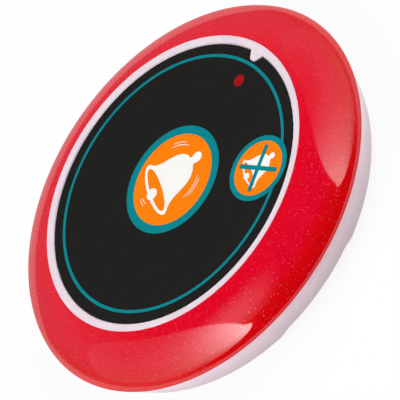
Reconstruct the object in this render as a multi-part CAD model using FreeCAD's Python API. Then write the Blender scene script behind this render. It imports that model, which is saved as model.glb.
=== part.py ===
import FreeCAD, Part
import math
import os

# A round table call button: a large call key and a small cancel key lie under a
# printed film, in a white housing with a red bezel. The housing twists off its base,
# which is a disc inside the housing's foot.
# Millimetres, +Z up. The origin is on the table, under the middle of the button.
# +Y points to the lamp, and +X to one of the two finger scoops.

# Keys and printed film
CALL_FILM_D = 23.8
CANCEL_FILM_D = 14.2
CALL_UP = 0.6
CANCEL_ANGLE = 29.3
KEY_SPACING = 3.48
EDGE_MARGIN = 0.67
FILM_T = 0.25
FILM_GAP = 0.1
CAP_INSET = 0.2
CAP_CLEAR = 0.4
FLANGE_REACH = 1.3
FLANGE_T = 0.8
FLANGE_CLEAR = 0.3
KEY_WALL = 1.2
KEY_REST_GAP = 0.2
KEY_BOSS_R = 3.0
KEY_BOSS_DROP = 0.15
KEY_TRAVEL = 0.5

# Rim tooth at the lamp side, which turns the film the right way round
TOOTH_BASE = 3.9
TOOTH_TIP = 1.2
TOOTH_LENGTH = 1.75
TOOTH_ROUND = 0.9

# Housing and bezel
RIM_BAND = 1.81
RIM_STEP = 0.4
RIM_RISE = 0.2
RIM_ROUND = 0.3
DECK_T = 1.5
SHELL_WALL = 1.6
SKIRT_WALL = 3.15
FOOT_TUCK = 3.1
BEZEL_BAND = 10.04
BEZEL_WALL = 1.8
BEZEL_FIT = 0.15
SHOULDER_R = 5.0
SHOULDER_H = 7.7
SEAM_H = 8.1
LIP_R = 1.3

# Base, foam pad, table screws and the finger scoops in the housing's foot
PAD_MARGIN = 4.4
PAD_T = 1.0
PAD_SEAT = 0.5
PAD_FIT = 0.2
FLOOR_T = 1.9
BASE_GAP = 0.25
SCREW_SPACING = 28.0
SCREW_HOLE_D = 3.4
SINK_D = 6.4
SCREW_LAND_D = 8.0
SCOOP_TURN = -1.5
SCOOP_HALF = 19.0
SCOOP_FLAT_HALF = 14.0
SCOOP_FOOT_CUT = 0.4
SCOOP_RISE = 1.9

# Bayonet between base and housing
SEAL_D = 1.1
SEAL_FIT = 0.05
SPIGOT_RISE = 1.2
RING_WALL = 1.6
LUG_REACH = 1.7
LUG_T = 1.3
LUG_GAP = 0.2
LUG_CLEAR = 0.3
LEDGE_REACH = 1.2
LEDGE_T = 1.5
LUG_COUNT = 3
LUG_ANGLE = 30.0
LUG_ARC = 14.0
LEDGE_ARC = 16.0
STOP_ARC = 3.0
STOP_CLEAR = 0.6
TWIST = 18.0

# Battery, its tray and contacts
CELL_D = 10.3
CELL_L = 28.5
CELL_NUB_D = 3.8
CELL_NUB_T = 0.8
CELL_EDGE = 0.4
CELL_GAP = 0.325
CELL_FIT = 0.2
TRAY_WALL = 1.2
TRAY_WINDOW = 6.0
TRAY_KEY_GAP = 1.05
EAR_W = 4.0
EAR_L = 3.0
EAR_T = 1.0
EAR_INSET = 2.5
CONTACT_ROOM = 1.1
CONTACT_T = 0.3
CONTACT_W = 6.4
CONTACT_CLEAR = 0.6
CONTACT_BUMP_D = 3.2
TAIL_L = 5.0
TAIL_H = 0.8

# Circuit board, its screws and bosses
BOARD_T = 1.6
BOARD_CLEAR = 0.5
BOARD_EDGE_GAP = 0.15
BOSS_D = 4.8
BOSS_INSET = 2.0
BOSS_ANGLES = (-8.0, 52.0, 135.0, 188.0)
SCREW_D = 2.0
SCREW_HEAD_D = 3.8
SCREW_HEAD_T = 1.4
SCREW_BITE = 3.6
SCREW_END_GAP = 0.5
SCREW_SLOT = 0.5

# Tactile switches
SWITCH_W = 6.0
SWITCH_H = 3.2
SWITCH_TOTAL = 5.0
STEM_D = 3.5
STEM_FLOOR = 0.5
STEM_GAP = 0.2
PLATE_T = 0.3
LEG_W = 0.7
LEG_SPREAD = 4.5
LEG_OUT = 1.2

# Lamp
LED_D = 3.0
LED_RIM_D = 3.8
LED_RIM_T = 1.0
LED_H = 5.3
LED_INSET = 6.45
LED_UNDER = 0.25
LED_CLEAR = 0.2
LED_PITCH = 2.54
LED_LEAD_D = 0.5
WINDOW_D = 2.66

# Radio parts
CHIP_L = 8.7
CHIP_W = 3.9
CHIP_H = 1.5
CHIP_INSET = 14.0
CHIP_ANGLE = 150.0
LEAD_COUNT = 7
LEAD_PITCH = 1.27
LEAD_W = 0.4
LEAD_T = 0.2
LEAD_L = 1.0
LEAD_RISE = 0.7
CAN_D = 9.2
CAN_H = 3.2
CAN_BRIM = 0.4
CAN_BRIM_T = 0.5
CAN_GAP = 0.8
TRANSISTOR_L = 2.9
TRANSISTOR_W = 1.3
TRANSISTOR_H = 1.0
TRANSISTOR_GAP = 0.8
CHIP_PART_L = 2.0
CHIP_PART_W = 1.25
CHIP_PART_H = 0.55
CHIP_PART_COUNT = 5
CHIP_PART_PITCH = 2.6
CHIP_PART_GAP = 1.4
WIRE_D = 1.0
WIRE_INSET = 3.5
WIRE_RISE = 2.5
WIRE_BEND = 1.5
WIRE_HALF = 28.0
LEAD_CLEAR = 0.1

# General
TOUCH = 0.05
OVERRUN = 5.0


# Places worked out from the sizes above

call_at = (0.0, CALL_UP)
key_reach = CALL_FILM_D / 2 + KEY_SPACING + CANCEL_FILM_D / 2
cancel_at = (key_reach * math.cos(math.radians(CANCEL_ANGLE)),
             CALL_UP + key_reach * math.sin(math.radians(CANCEL_ANGLE)))

film_r = math.hypot(*cancel_at) + CANCEL_FILM_D / 2 + EDGE_MARGIN
rim_in_r = film_r + FILM_GAP
bezel_in_r = film_r + RIM_BAND
outer_r = bezel_in_r + BEZEL_BAND

under_z = PAD_T - PAD_SEAT
floor_z = under_z + FLOOR_T
cell_z = floor_z + CELL_GAP + CELL_D / 2
deck_under_z = cell_z + CELL_D / 2 + CELL_GAP
deck_z = deck_under_z + DECK_T
film_z = deck_z + FILM_T
top_z = film_z + RIM_STEP
rim_in_z = top_z - RIM_RISE

lip_z = SEAM_H + LIP_R
shoulder_r = outer_r - math.sqrt(SHOULDER_R ** 2 - (lip_z - SHOULDER_H) ** 2)
slope_away = math.hypot(shoulder_r - bezel_in_r, SHOULDER_H - top_z)
slope = (math.atan2(SHOULDER_H - top_z, shoulder_r - bezel_in_r)
         + math.asin(SHOULDER_R / slope_away))

housing_depth = BEZEL_WALL + BEZEL_FIT
skirt_r = shoulder_r + SHOULDER_R - housing_depth
skirt_in_r = skirt_r - SKIRT_WALL
foot_r = skirt_r - FOOT_TUCK

spigot_r = skirt_in_r - SEAL_D - 2 * SEAL_FIT
lug_in_r = skirt_in_r - LUG_REACH
ring_out_r = lug_in_r - LUG_CLEAR
ring_in_r = ring_out_r - RING_WALL
ledge_r = ring_out_r + LEDGE_REACH
spigot_z = floor_z + SPIGOT_RISE
pad_r = spigot_r - PAD_MARGIN
lug_z = spigot_z + LUG_GAP
ledge_z = lug_z + LUG_T + LUG_GAP
ring_z = ledge_z + LEDGE_T

flange_top_z = deck_under_z - KEY_REST_GAP
flange_z = flange_top_z - FLANGE_T
key_boss_z = flange_z - KEY_BOSS_DROP
board_top_z = key_boss_z - SWITCH_TOTAL
board_z = board_top_z - BOARD_T
board_r = ring_in_r - BOARD_CLEAR
boss_out = board_r - BOSS_INSET

call_cap_r = CALL_FILM_D / 2 - CAP_INSET
call_flange_r = call_cap_r + FLANGE_REACH
cancel_cap_r = CANCEL_FILM_D / 2 - CAP_INSET
cancel_flange_r = cancel_cap_r + FLANGE_REACH

trough_r = CELL_D / 2 + CELL_FIT
contact_top_z = cell_z + math.sqrt((trough_r - CONTACT_CLEAR) ** 2 - (CONTACT_W / 2) ** 2)
tray_half_w = trough_r + TRAY_WALL
tray_half_l = CELL_L / 2 + CONTACT_ROOM + TRAY_WALL
cell_y = CALL_UP - call_flange_r - TRAY_KEY_GAP - tray_half_w
board_cut_y = cell_y + tray_half_w + BOARD_EDGE_GAP
ear_x = tray_half_l - EAR_INSET - EAR_W / 2
ear_y = cell_y + tray_half_w + EAR_L
can_at = (-ear_x - TRANSISTOR_L / 2 - CAN_GAP - CAN_D / 2, ear_y + CAN_GAP + CAN_D / 2)

led_at = (0.0, film_r - LED_INSET)
led_top_z = deck_z - LED_UNDER
wire_r = board_r - WIRE_INSET
chip_r = board_r - CHIP_INSET


def polar(radius, degrees):
    """A place on the board, from its distance and angle round the middle."""
    turn = math.radians(degrees)
    return radius * math.cos(turn), radius * math.sin(turn)


boss_places = [polar(boss_out, degrees) for degrees in BOSS_ANGLES]
screw_places = [(side * SCREW_SPACING / 2, 0.0) for side in (-1, 1)]
leg_places = [(side * (SWITCH_W / 2 + PLATE_T / 2), along * LEG_SPREAD / 2)
              for side in (-1, 1) for along in (-1, 1)]
led_leads = [(led_at[0] + side * LED_PITCH / 2, led_at[1]) for side in (-1, 1)]
wire_feet = [polar(wire_r, 90 + side * WIRE_HALF) for side in (-1, 1)]


# Shape helpers

def vec(x, y, z=0.0):
    return FreeCAD.Vector(x, y, z)


def cylinder(radius, z0, z1, at=(0.0, 0.0)):
    """An upright cylinder between two heights."""
    return Part.makeCylinder(radius, z1 - z0, vec(at[0], at[1], z0))


def tube(outer, inner, z0, z1, at=(0.0, 0.0)):
    """An upright ring between two heights."""
    hole = cylinder(inner, z0 - OVERRUN, z1 + OVERRUN, at)
    return cylinder(outer, z0, z1, at).cut(hole)


def block(x0, x1, y0, y1, z0, z1):
    """A box from its lowest and highest corners."""
    return Part.makeBox(x1 - x0, y1 - y0, z1 - z0, vec(x0, y0, z0))


def block_at(at, length, width, z0, z1):
    """A box centred on a place, between two heights."""
    x, y = at
    return block(x - length / 2, x + length / 2, y - width / 2, y + width / 2, z0, z1)


def sector(outer, inner, z0, z1, middle, width):
    """A slice of a ring, centred on an angle, for lugs and ledges."""
    slab = Part.makeCylinder(outer, z1 - z0, vec(0, 0, z0), vec(0, 0, 1), width)
    slab.rotate(vec(0, 0), vec(0, 0, 1), middle - width / 2)
    return slab.cut(cylinder(inner, z0 - OVERRUN, z1 + OVERRUN))


def prism(points, z0, z1):
    """An upright prism on a closed list of places."""
    corners = [vec(x, y, z0) for x, y in points]
    return Part.Face(Part.makePolygon(corners + corners[:1])).extrude(vec(0, 0, z1 - z0))


class HalfSection:
    """A closed outline in radius and height, spun about an upright axis."""

    def __init__(self, radius, z):
        self.start = vec(radius, 0, z)
        self.at = self.start
        self.edges = []

    def line(self, radius, z):
        end = vec(radius, 0, z)
        self.edges.append(Part.makeLine(self.at, end))
        self.at = end
        return self

    def arc(self, centre, radius, z):
        """The shorter arc round a centre to the next point."""
        middle = vec(centre[0], 0, centre[1])
        end = vec(radius, 0, z)
        bisector = (self.at - middle) + (end - middle)
        bisector.normalize()
        reach = (self.at - middle).Length
        self.edges.append(Part.Arc(self.at, middle + bisector * reach, end).toShape())
        self.at = end
        return self

    def quarter(self, centre, radius, z):
        """A quarter of an ellipse, level where it starts and upright where it ends."""
        middle = vec(centre[0], 0, centre[1])
        end = vec(radius, 0, z)
        oval = Part.Ellipse(self.at, end, middle)
        self.edges.append(Part.ArcOfEllipse(oval, 0, math.pi / 2).toShape())
        self.at = end
        return self

    def spin(self, at=(0.0, 0.0)):
        self.line(self.start.x, self.start.z)
        solid = Part.Face(Part.Wire(self.edges)).revolve(vec(0, 0), vec(0, 0, 1), 360)
        solid.translate(vec(at[0], at[1]))
        return solid


def slope_height(radius, depth):
    """Height of the sloping side, this deep under the bezel's face."""
    touch_r = shoulder_r - (SHOULDER_R - depth) * math.sin(slope)
    touch_z = SHOULDER_H + (SHOULDER_R - depth) * math.cos(slope)
    return touch_z + (radius - touch_r) * math.tan(slope)


def shoulder_top(depth):
    """Where the slope runs into the rounded shoulder, this deep under the face."""
    reach = SHOULDER_R - depth
    return shoulder_r - reach * math.sin(slope), SHOULDER_H + reach * math.cos(slope)


def white_body():
    """The solid outer form of the white housing, under the bezel."""
    shape = HalfSection(0, under_z).line(foot_r, under_z)
    shape.quarter((foot_r, SHOULDER_H), skirt_r, SHOULDER_H)
    shape.arc((shoulder_r, SHOULDER_H), *shoulder_top(housing_depth))
    rim_out_r = bezel_in_r - BEZEL_FIT
    shape.line(rim_out_r, slope_height(rim_out_r, housing_depth))
    shape.line(rim_out_r, top_z).line(rim_in_r + RIM_ROUND, rim_in_z)
    shape.arc((rim_in_r + RIM_ROUND, rim_in_z - RIM_ROUND), rim_in_r, rim_in_z - RIM_ROUND)
    return shape.line(rim_in_r, deck_z).line(0, deck_z).spin()


def cavity(clearance=0.0):
    """The hollow inside the housing, smaller all round by a clearance."""
    depth = housing_depth + SHELL_WALL + clearance
    wall_r = skirt_in_r - clearance
    roof_z = deck_under_z - clearance
    corner_r = wall_r + (roof_z - slope_height(wall_r, depth)) / math.tan(slope)
    shape = HalfSection(0, floor_z - TOUCH).line(wall_r, floor_z - TOUCH)
    shape.line(wall_r, slope_height(wall_r, depth)).line(corner_r, roof_z)
    return shape.line(0, roof_z).spin()


def tooth(clearance=0.0):
    """The rim's tooth in plan, pointing inward, or the film's notch for it."""
    base = TOOTH_BASE / 2 + clearance
    tip = TOOTH_TIP / 2 + clearance
    root_y = rim_in_r + RIM_ROUND
    tip_y = film_r - TOOTH_LENGTH - clearance
    flare = base + (base - tip) * (root_y - film_r) / TOOTH_LENGTH
    points = [(-flare, root_y), (-tip, tip_y), (tip, tip_y), (flare, root_y)]
    solid = prism(points, deck_z, rim_in_z)
    tip_edges = [edge for edge in solid.Edges
                 if abs(edge.BoundBox.YMax - tip_y) < TOUCH and edge.BoundBox.ZLength > TOUCH]
    return solid.makeFillet(TOOTH_ROUND, tip_edges)


# Base side

def adhesive_pad():
    """Foam pad stuck under the base, with clear holes for the table screws."""
    pad = cylinder(pad_r, 0, PAD_T)
    for place in screw_places:
        pad = pad.cut(cylinder(SCREW_LAND_D / 2 + PAD_FIT, -OVERRUN, PAD_T + OVERRUN, place))
    return pad


def bayonet_ring():
    """The base's upright ring, with a ledge and two stops for each housing lug."""
    ring = tube(ring_out_r, ring_in_r, floor_z, ring_z)
    ring = ring.fuse(tube(spigot_r, ring_in_r, floor_z, spigot_z))
    inner = ring_out_r - RING_WALL / 2
    for index in range(LUG_COUNT):
        middle = LUG_ANGLE + index * 360 / LUG_COUNT
        locked = middle - LUG_ARC / 2 - STOP_CLEAR - STOP_ARC / 2
        free = middle + TWIST + LUG_ARC / 2 + STOP_CLEAR + STOP_ARC / 2
        ring = ring.fuse([
            sector(ledge_r, inner, ledge_z, ring_z, middle, LEDGE_ARC),
            sector(ledge_r, inner, floor_z, ring_z, locked, STOP_ARC).cut(
                tube(skirt_in_r, spigot_r, floor_z - OVERRUN, spigot_z)),
            sector(ledge_r, inner, floor_z, ring_z, free, STOP_ARC).cut(
                tube(skirt_in_r, spigot_r, floor_z - OVERRUN, spigot_z))])
    return ring


def base_plate():
    """Floor with the foam's seat, screw holes and bayonet ring."""
    base = cylinder(spigot_r, under_z, floor_z)
    seat = cylinder(pad_r + PAD_FIT, under_z - OVERRUN, PAD_T)
    for place in screw_places:
        seat = seat.cut(cylinder(SCREW_LAND_D / 2, under_z - OVERRUN, PAD_T + OVERRUN, place))
    base = base.cut(seat).fuse(bayonet_ring())
    sink = (SINK_D - SCREW_HOLE_D) / 2
    for x, y in screw_places:
        base = base.cut(cylinder(SCREW_HOLE_D / 2, under_z - OVERRUN, floor_z + OVERRUN, (x, y)))
        base = base.cut(Part.makeCone(SCREW_HOLE_D / 2, SINK_D / 2, sink,
                                      vec(x, y, floor_z - sink)))
    return base.removeSplitter()


def seal_ring():
    """O-ring round the base's spigot, inside the housing's skirt."""
    middle = spigot_r + SEAL_FIT + SEAL_D / 2
    return Part.makeTorus(middle, SEAL_D / 2, vec(0, 0, floor_z + SEAL_D / 2))


# Housing side

def finger_scoop(facing):
    """A slanted cut in the housing's foot, where a fingertip grips it, with sloping ends."""
    over_z = under_z + SCOOP_RISE
    drop = (SHOULDER_H - over_z) / (SHOULDER_H - under_z)
    edge = foot_r + FOOT_TUCK * math.sqrt(1 - drop ** 2)
    cut = foot_r - SCOOP_FOOT_CUT
    low = cut - (edge - cut) * OVERRUN / SCOOP_RISE
    far = skirt_r + OVERRUN
    shape = HalfSection(low, under_z - OVERRUN).line(far, under_z - OVERRUN)
    slant = shape.line(far, over_z).line(edge, over_z).spin()
    foot, top = (polar(edge, half)[1] for half in (SCOOP_HALF, SCOOP_FLAT_HALF))
    right = [(foot, under_z - OVERRUN), (foot, under_z), (top, over_z)]
    left = [(-y, z) for y, z in reversed(right)]
    corners = [vec(0, y, z) for y, z in right + left]
    ends = Part.Face(Part.makePolygon(corners + corners[:1])).extrude(vec(far, 0))
    ends.rotate(vec(0, 0), vec(0, 0, 1), facing)
    return slant.common(ends)


def boss(place):
    """A screw boss that hangs from the housing's roof to the board."""
    return cylinder(BOSS_D / 2, board_top_z + TOUCH, deck_z, place)


def top_housing():
    """White shell: foot, skirt, sloping shoulder, deck, toothed rim, bosses and lugs."""
    outside = white_body()
    shell = outside.cut(cavity()).cut(cylinder(spigot_r + BASE_GAP, -OVERRUN, floor_z))
    shell = shell.fuse(tooth())
    shell = shell.fuse([boss(place).common(outside) for place in boss_places])
    for index in range(LUG_COUNT):
        middle = LUG_ANGLE + index * 360 / LUG_COUNT
        outer = skirt_in_r + SHELL_WALL / 2
        shell = shell.fuse(sector(outer, lug_in_r, lug_z, lug_z + LUG_T, middle, LUG_ARC))
    for place, cap_r, flange_r in ((call_at, call_cap_r, call_flange_r),
                                   (cancel_at, cancel_cap_r, cancel_flange_r)):
        shell = shell.cut(cylinder(cap_r + CAP_CLEAR, board_top_z, top_z + OVERRUN, place))
        shell = shell.cut(cylinder(flange_r + FLANGE_CLEAR, board_top_z, deck_under_z, place))
    shell = shell.cut(cylinder(LED_D / 2 + LED_CLEAR, board_top_z, top_z, led_at))
    hole_top = board_top_z + SCREW_BITE + SCREW_END_GAP
    for place in boss_places:
        shell = shell.cut(cylinder(SCREW_D / 2 + TOUCH, board_top_z - OVERRUN, hole_top, place))
    for facing in (SCOOP_TURN, SCOOP_TURN + 180):
        shell = shell.cut(finger_scoop(facing))
    return shell.removeSplitter()


def bezel_ring():
    """Red bezel: a cone that runs into a rounded shoulder and a small lip."""
    low_z = slope_height(bezel_in_r, BEZEL_WALL)
    inner_reach = math.sqrt((SHOULDER_R - BEZEL_WALL) ** 2 - (SEAM_H - SHOULDER_H) ** 2)
    centre = (shoulder_r, SHOULDER_H)
    shape = HalfSection(bezel_in_r, low_z).line(bezel_in_r, top_z)
    shape.line(*shoulder_top(0)).arc(centre, outer_r, lip_z)
    shape.arc((outer_r - LIP_R, lip_z), outer_r - LIP_R, SEAM_H)
    shape.line(shoulder_r + inner_reach, SEAM_H)
    return shape.arc(centre, *shoulder_top(BEZEL_WALL)).spin()


def overlay_film():
    """Printed film on the deck, open for the two key films, the lamp and the tooth."""
    film = cylinder(film_r, deck_z, film_z)
    for place, size in ((call_at, CALL_FILM_D), (cancel_at, CANCEL_FILM_D)):
        film = film.cut(cylinder(size / 2 + FILM_GAP, deck_z - OVERRUN, film_z + OVERRUN, place))
    film = film.cut(cylinder(WINDOW_D / 2 + TOUCH, deck_z - OVERRUN, film_z + OVERRUN, led_at))
    return film.cut(tooth(FILM_GAP))


def led_window():
    """Clear dark red window in the film, over the lamp."""
    return cylinder(WINDOW_D / 2, deck_z, film_z, led_at)


# Keys

def key(place, cap_r, flange_r):
    """A moulded key: cap, holding flange and a boss that meets the switch."""
    shape = HalfSection(0, key_boss_z).line(KEY_BOSS_R, key_boss_z)
    shape.line(KEY_BOSS_R, deck_z - KEY_WALL).line(cap_r - KEY_WALL, deck_z - KEY_WALL)
    shape.line(cap_r - KEY_WALL, flange_z).line(flange_r, flange_z)
    shape.line(flange_r, flange_top_z).line(cap_r, flange_top_z)
    return shape.line(cap_r, deck_z).line(0, deck_z).spin(place)


def call_key():
    return key(call_at, call_cap_r, call_flange_r)


def cancel_key():
    return key(cancel_at, cancel_cap_r, cancel_flange_r)


def call_key_film():
    """The printed film over the call key."""
    return cylinder(CALL_FILM_D / 2, deck_z, film_z, call_at)


def cancel_key_film():
    """The printed film over the cancel key."""
    return cylinder(CANCEL_FILM_D / 2, deck_z, film_z, cancel_at)


# Switches

def switch_base(place):
    """Plastic base of a switch, bored for the stem."""
    top = board_top_z + SWITCH_H
    body = block_at(place, SWITCH_W, SWITCH_W, board_top_z, top)
    bore = cylinder(STEM_D / 2 + LEAD_CLEAR, board_top_z + STEM_FLOOR, top + OVERRUN, place)
    return body.cut(bore)


def switch_frame(place):
    """Metal cover of a switch, with its four legs bent down through the board."""
    low = board_top_z + SWITCH_H
    wide = SWITCH_W + 2 * PLATE_T
    frame = block_at(place, wide, SWITCH_W, low, low + PLATE_T)
    for x, y in leg_places:
        leg_at = (place[0] + x, place[1] + y)
        frame = frame.fuse(block_at(leg_at, PLATE_T, LEG_W, board_z - LEG_OUT, low + PLATE_T))
    hole = cylinder(STEM_D / 2 + LEAD_CLEAR, low - TOUCH, low + OVERRUN, place)
    return frame.cut(hole).removeSplitter()


def switch_stem(place):
    """Round stem that the key presses."""
    low = board_top_z + STEM_FLOOR + STEM_GAP + KEY_TRAVEL
    return cylinder(STEM_D / 2, low, key_boss_z, place)


def call_switch_base():
    return switch_base(call_at)


def call_switch_frame():
    return switch_frame(call_at)


def call_switch_stem():
    return switch_stem(call_at)


def cancel_switch_base():
    return switch_base(cancel_at)


def cancel_switch_frame():
    return switch_frame(cancel_at)


def cancel_switch_stem():
    return switch_stem(cancel_at)


# Circuit board and what is on it

def circuit_board():
    """Round board, cut straight beside the battery, drilled for screws and leads."""
    board = cylinder(board_r, board_z, board_top_z)
    board = board.cut(block(-board_r - OVERRUN, board_r + OVERRUN, -board_r - OVERRUN,
                            board_cut_y, board_z - OVERRUN, board_top_z + OVERRUN))
    holes = [(place, SCREW_D / 2 + LEAD_CLEAR) for place in boss_places]
    holes += [(place, LED_LEAD_D / 2 + LEAD_CLEAR) for place in led_leads]
    holes += [(place, WIRE_D / 2 + LEAD_CLEAR) for place in wire_feet]
    for x, y in leg_places:
        for switch_at in (call_at, cancel_at):
            holes.append(((switch_at[0] + x, switch_at[1] + y), LEG_W / 2 + LEAD_CLEAR))
    for place, radius in holes:
        board = board.cut(cylinder(radius, board_z - OVERRUN, board_top_z + OVERRUN, place))
    return board


def board_screw(place):
    """A pan head screw, up through the board into its boss."""
    low = board_z - SCREW_HEAD_T
    chamfer = SCREW_HEAD_T / 4
    shape = HalfSection(0, low).line(SCREW_HEAD_D / 2 - chamfer, low)
    shape.line(SCREW_HEAD_D / 2, low + chamfer).line(SCREW_HEAD_D / 2, board_z)
    shape.line(SCREW_D / 2, board_z).line(SCREW_D / 2, board_top_z + SCREW_BITE)
    screw = shape.line(0, board_top_z + SCREW_BITE).spin(place)
    for length, width in ((SCREW_D, SCREW_SLOT), (SCREW_SLOT, SCREW_D)):
        screw = screw.cut(block_at(place, length, width, low - TOUCH, low + SCREW_SLOT))
    return screw


def board_screws():
    return Part.makeCompound([board_screw(place) for place in boss_places])


def status_led():
    """3 mm lamp on its two leads, under the window."""
    low = led_top_z - LED_H
    radius = LED_D / 2
    shape = HalfSection(0, low).line(LED_RIM_D / 2, low)
    shape.line(LED_RIM_D / 2, low + LED_RIM_T).line(radius, low + LED_RIM_T)
    lamp = shape.line(radius, led_top_z - radius)
    lamp = lamp.arc((0, led_top_z - radius), 0, led_top_z).spin(led_at)
    for place in led_leads:
        lamp = lamp.fuse(cylinder(LED_LEAD_D / 2, board_z - LEG_OUT, low + TOUCH, place))
    return lamp


def encoder_chip():
    """Chip body with two rows of bent leads."""
    x, y = polar(chip_r, CHIP_ANGLE)
    low = board_top_z + LEAD_T
    chip = block_at((x, y), CHIP_L, CHIP_W, low, low + CHIP_H)
    for index in range(LEAD_COUNT):
        along = x + (index - (LEAD_COUNT - 1) / 2) * LEAD_PITCH
        for side in (-1, 1):
            edge = y + side * (CHIP_W / 2 + LEAD_L / 4)
            foot = y + side * (CHIP_W / 2 + LEAD_L * 3 / 4)
            shin = y + side * (CHIP_W / 2 + LEAD_L / 2)
            top = board_top_z + LEAD_RISE
            chip = chip.fuse([
                block_at((along, edge), LEAD_W, LEAD_L / 2 + 2 * TOUCH, top - LEAD_T, top),
                block_at((along, shin), LEAD_W, LEAD_T, board_top_z, top),
                block_at((along, foot), LEAD_W, LEAD_L / 2, board_top_z, board_top_z + LEAD_T)])
    return chip.removeSplitter()


def saw_resonator():
    """Round metal can with a brim, which sets the radio frequency."""
    shape = HalfSection(0, board_top_z).line(CAN_D / 2, board_top_z)
    shape.line(CAN_D / 2, board_top_z + CAN_BRIM_T)
    shape.line(CAN_D / 2 - CAN_BRIM, board_top_z + CAN_BRIM_T)
    shape.line(CAN_D / 2 - CAN_BRIM, board_top_z + CAN_H - CAN_BRIM)
    shape.line(CAN_D / 2 - 2 * CAN_BRIM, board_top_z + CAN_H).line(0, board_top_z + CAN_H)
    return shape.spin(can_at)


def rf_transistor():
    """Small three-legged transistor of the transmitter."""
    reach = TRANSISTOR_W / 2 + LEAD_L
    x = -ear_x
    y = ear_y + TRANSISTOR_GAP + reach
    low = board_top_z + LEAD_T
    body = block_at((x, y), TRANSISTOR_L, TRANSISTOR_W, low - TOUCH, low + TRANSISTOR_H)
    for along, side in ((-1, -1), (1, -1), (0, 1)):
        x0 = x + along * (TRANSISTOR_L / 2 - LEAD_W) - LEAD_W / 2
        y0, y1 = sorted((y, y + side * reach))
        body = body.fuse(block(x0, x0 + LEAD_W, y0, y1, board_top_z, board_top_z + LEAD_T))
    return body


def chip_parts():
    """Two rows of small resistors and capacitors beside the chip."""
    x, y = polar(chip_r, CHIP_ANGLE)
    row = CHIP_W / 2 + LEAD_L + CHIP_PART_GAP + CHIP_PART_L / 2
    parts = []
    for index in range(CHIP_PART_COUNT):
        along = x + (index - (CHIP_PART_COUNT - 1) / 2) * CHIP_PART_PITCH
        for side in (-1, 1):
            parts.append(block_at((along, y + side * row), CHIP_PART_W, CHIP_PART_L,
                                  board_top_z, board_top_z + CHIP_PART_H))
    return Part.makeCompound(parts)


def antenna_wire():
    """Round wire: up from the board, along its edge in an arc, and down again."""
    high = board_top_z + WIRE_RISE
    low = board_z - LEG_OUT
    half = math.radians(WIRE_HALF)
    arch_r = wire_r - WIRE_BEND / math.tan(half)
    arch_y = WIRE_BEND / math.sin(half)
    corner = WIRE_BEND * (1 - math.sqrt(0.5))

    def leg(side):
        """Foot, start of the bend, middle of the bend and end of the bend."""
        foot = vec(side * wire_r * math.sin(half), wire_r * math.cos(half))
        ahead = vec(-side * math.cos(half), math.sin(half))
        lift = vec(0, 0, 1)
        return (foot + lift * low, foot + lift * (high - WIRE_BEND),
                foot + ahead * corner + lift * (high - corner),
                foot + ahead * WIRE_BEND + lift * high)

    right, left = leg(1), leg(-1)
    path = Part.Wire([Part.makeLine(right[0], right[1]),
                      Part.Arc(right[1], right[2], right[3]).toShape(),
                      Part.Arc(right[3], vec(0, arch_y + arch_r, high), left[3]).toShape(),
                      Part.Arc(left[3], left[2], left[1]).toShape(),
                      Part.makeLine(left[1], left[0])])
    section = Part.Wire(Part.makeCircle(WIRE_D / 2, right[0], vec(0, 0, 1)))
    return path.makePipeShell([section], True, False)


# Battery

def battery_cell():
    """12 V cell, lying across the housing, with its nub to +X."""
    can_l = CELL_L - CELL_NUB_T
    start = vec(-CELL_L / 2, cell_y, cell_z)
    can = Part.makeCylinder(CELL_D / 2, can_l, start, vec(1, 0, 0))
    can = can.makeFillet(CELL_EDGE, [edge for edge in can.Edges if edge.BoundBox.XLength < TOUCH])
    nub = Part.makeCylinder(CELL_NUB_D / 2, CELL_NUB_T + TOUCH,
                            vec(CELL_L / 2 - CELL_NUB_T - TOUCH, cell_y, cell_z), vec(1, 0, 0))
    return can.fuse(nub).removeSplitter()


def battery_tray():
    """Cradle under the deck, open below so that the cell can be pulled out."""
    y0 = cell_y - tray_half_w
    y1 = cell_y + tray_half_w
    tray = block(-tray_half_l, tray_half_l, y0, y1, board_z, deck_under_z)
    for side in (-1, 1):
        tray = tray.fuse(block(side * ear_x - EAR_W / 2, side * ear_x + EAR_W / 2,
                               y1 - TRAY_WALL, ear_y, board_top_z, board_top_z + EAR_T))
    tray = tray.common(cavity(TOUCH))
    half_l = CELL_L / 2 + CONTACT_ROOM
    trough = Part.makeCylinder(trough_r, 2 * half_l, vec(-half_l, cell_y, cell_z), vec(1, 0, 0))
    trough = trough.fuse(block(-half_l, half_l, cell_y - trough_r, cell_y + trough_r,
                               board_z - OVERRUN, cell_z))
    window = block(-half_l, half_l, cell_y - TRAY_WINDOW / 2, cell_y + TRAY_WINDOW / 2,
                   cell_z, deck_z)
    return tray.cut(trough).cut(window).removeSplitter()


def contact_plate(side):
    """Upright contact plate against a tray end, with a tail under the board."""
    far = CELL_L / 2 + CONTACT_ROOM - TOUCH
    x0, x1 = sorted((side * (far - CONTACT_T), side * far))
    low = board_z - TOUCH - TAIL_H
    plate = block(x0, x1, cell_y - CONTACT_W / 2, cell_y + CONTACT_W / 2,
                  low, contact_top_z)
    tail = block(x0, x1, cell_y, board_cut_y + TAIL_L, low, low + TAIL_H)
    return plate.fuse(tail)


def battery_contact_plus():
    """Contact with a round bump that meets the cell's nub."""
    gap = CONTACT_ROOM - CONTACT_T - 2 * TOUCH
    bump = Part.makeCone(CONTACT_BUMP_D / 4, CONTACT_BUMP_D / 2, gap + TOUCH,
                         vec(CELL_L / 2 + TOUCH, cell_y, cell_z), vec(1, 0, 0))
    return contact_plate(1).fuse(bump).removeSplitter()


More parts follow.
